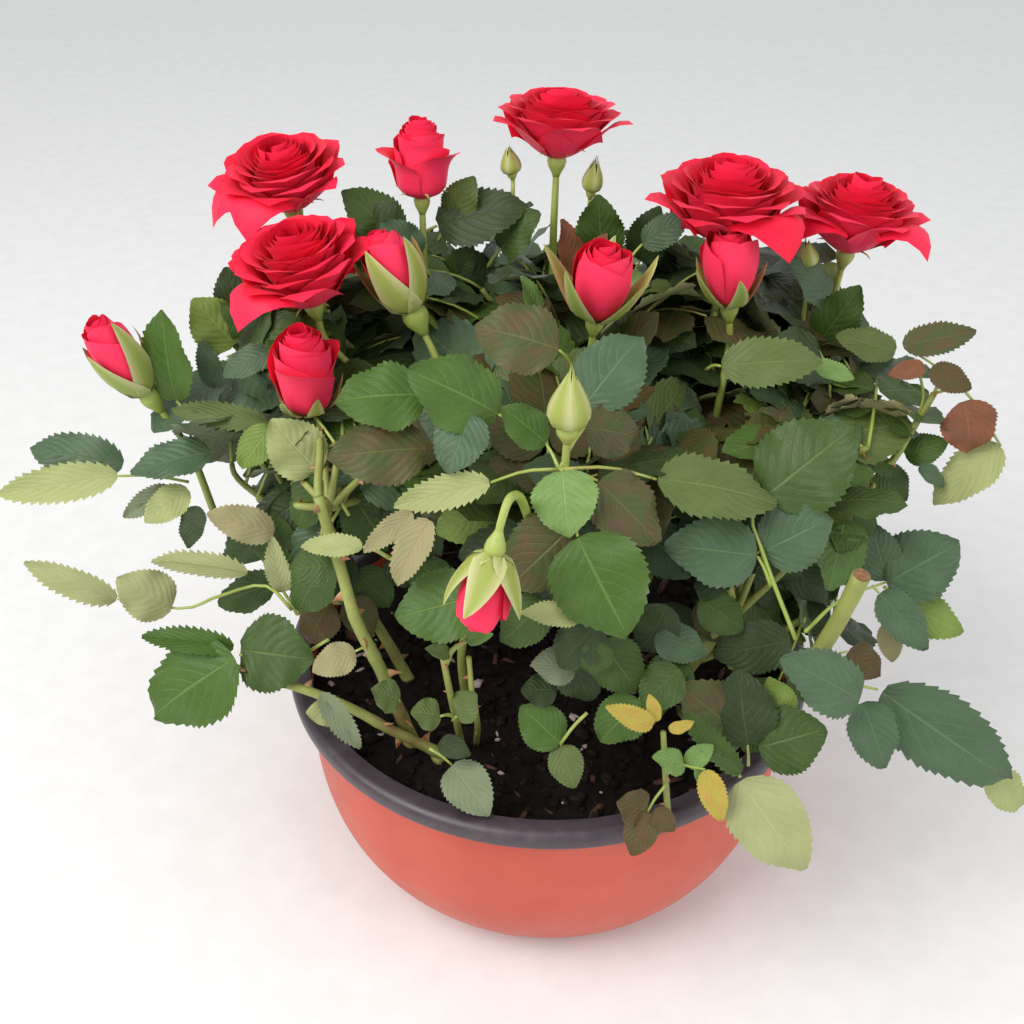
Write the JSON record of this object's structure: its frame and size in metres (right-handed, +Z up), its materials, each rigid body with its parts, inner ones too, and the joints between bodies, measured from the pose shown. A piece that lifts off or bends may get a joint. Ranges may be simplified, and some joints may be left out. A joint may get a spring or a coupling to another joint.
{
  "type": "potted rose bush",
  "caption": "Patio rose bush with red double blooms and buds over dense toothed foliage, growing in a round plastic bowl pot with a rolled rim.",
  "frame": {"origin": "centre of the pot's flat underside", "axes": "+Z up through the pot's middle, -Y towards the front of the plant, +X to the right seen from the front"},
  "size_m": [0.4319, 0.2923, 0.344],
  "materials": {
    "pot_body": "satin terracotta-coloured plastic with dust near the foot",
    "pot_rim": "satin dark grey-purple rolled rim",
    "soil": "moist crumbly peat compost",
    "cane": "green young bark with red-brown thorns",
    "stem": "smooth yellow-green flower stalks",
    "leaf": "semi-gloss dark bluish green, matte pale underside",
    "petal": "velvety deep red"
  },
  "bodies": {
    "root": {"bloom_far_right": "petal", "bloom_left": "petal", "bloom_left_back": "petal", "bloom_right_back": "petal", "bloom_top": "petal", "bud_centre": "petal", "bud_centre_left": "petal", "bud_far_left": "petal", "bud_green": "leaf", "bud_hanging": "petal", "bud_right": "petal", "cane_back": "cane", "cane_centre": "cane", "cane_centre_back": "cane", "cane_left": "cane", "cane_left_back": "cane", "cane_left_front": "cane", "cane_low_left": "cane", "cane_right": "cane", "cane_right_back": "cane", "cane_right_front": "cane", "cane_young": "cane", "half_open_back": "petal", "half_open_left": "petal", "mass_back": "leaf", "mass_centre": "leaf", "mass_centre_back": "leaf", "mass_front": "leaf", "mass_left": "leaf", "mass_left_back": "leaf", "mass_left_front": "leaf", "mass_left_low": "leaf", "mass_right": "leaf", "mass_right_back": "leaf", "mass_right_front": "leaf", "mass_right_low": "leaf", "pot": "pot_body", "pot_rim": "pot_rim", "pruned_stub": "cane", "shoot_front": "leaf", "soil": "soil", "spray_front_right": "leaf", "spray_left_high": "leaf", "spray_left_low": "leaf", "spray_left_mid": "leaf", "spray_right_high": "leaf", "spray_right_low": "leaf", "spray_right_mid": "leaf", "stalk_bloom_far_right": "stem", "stalk_bloom_left": "stem", "stalk_bloom_left_back": "stem", "stalk_bloom_right_back": "stem", "stalk_bloom_top": "stem", "stalk_bud_centre": "stem", "stalk_bud_centre_left": "stem", "stalk_bud_far_left": "stem", "stalk_bud_green": "stem", "stalk_bud_hanging": "stem", "stalk_bud_right": "stem", "stalk_half_open_back": "stem"}
  },
  "joints": []
}
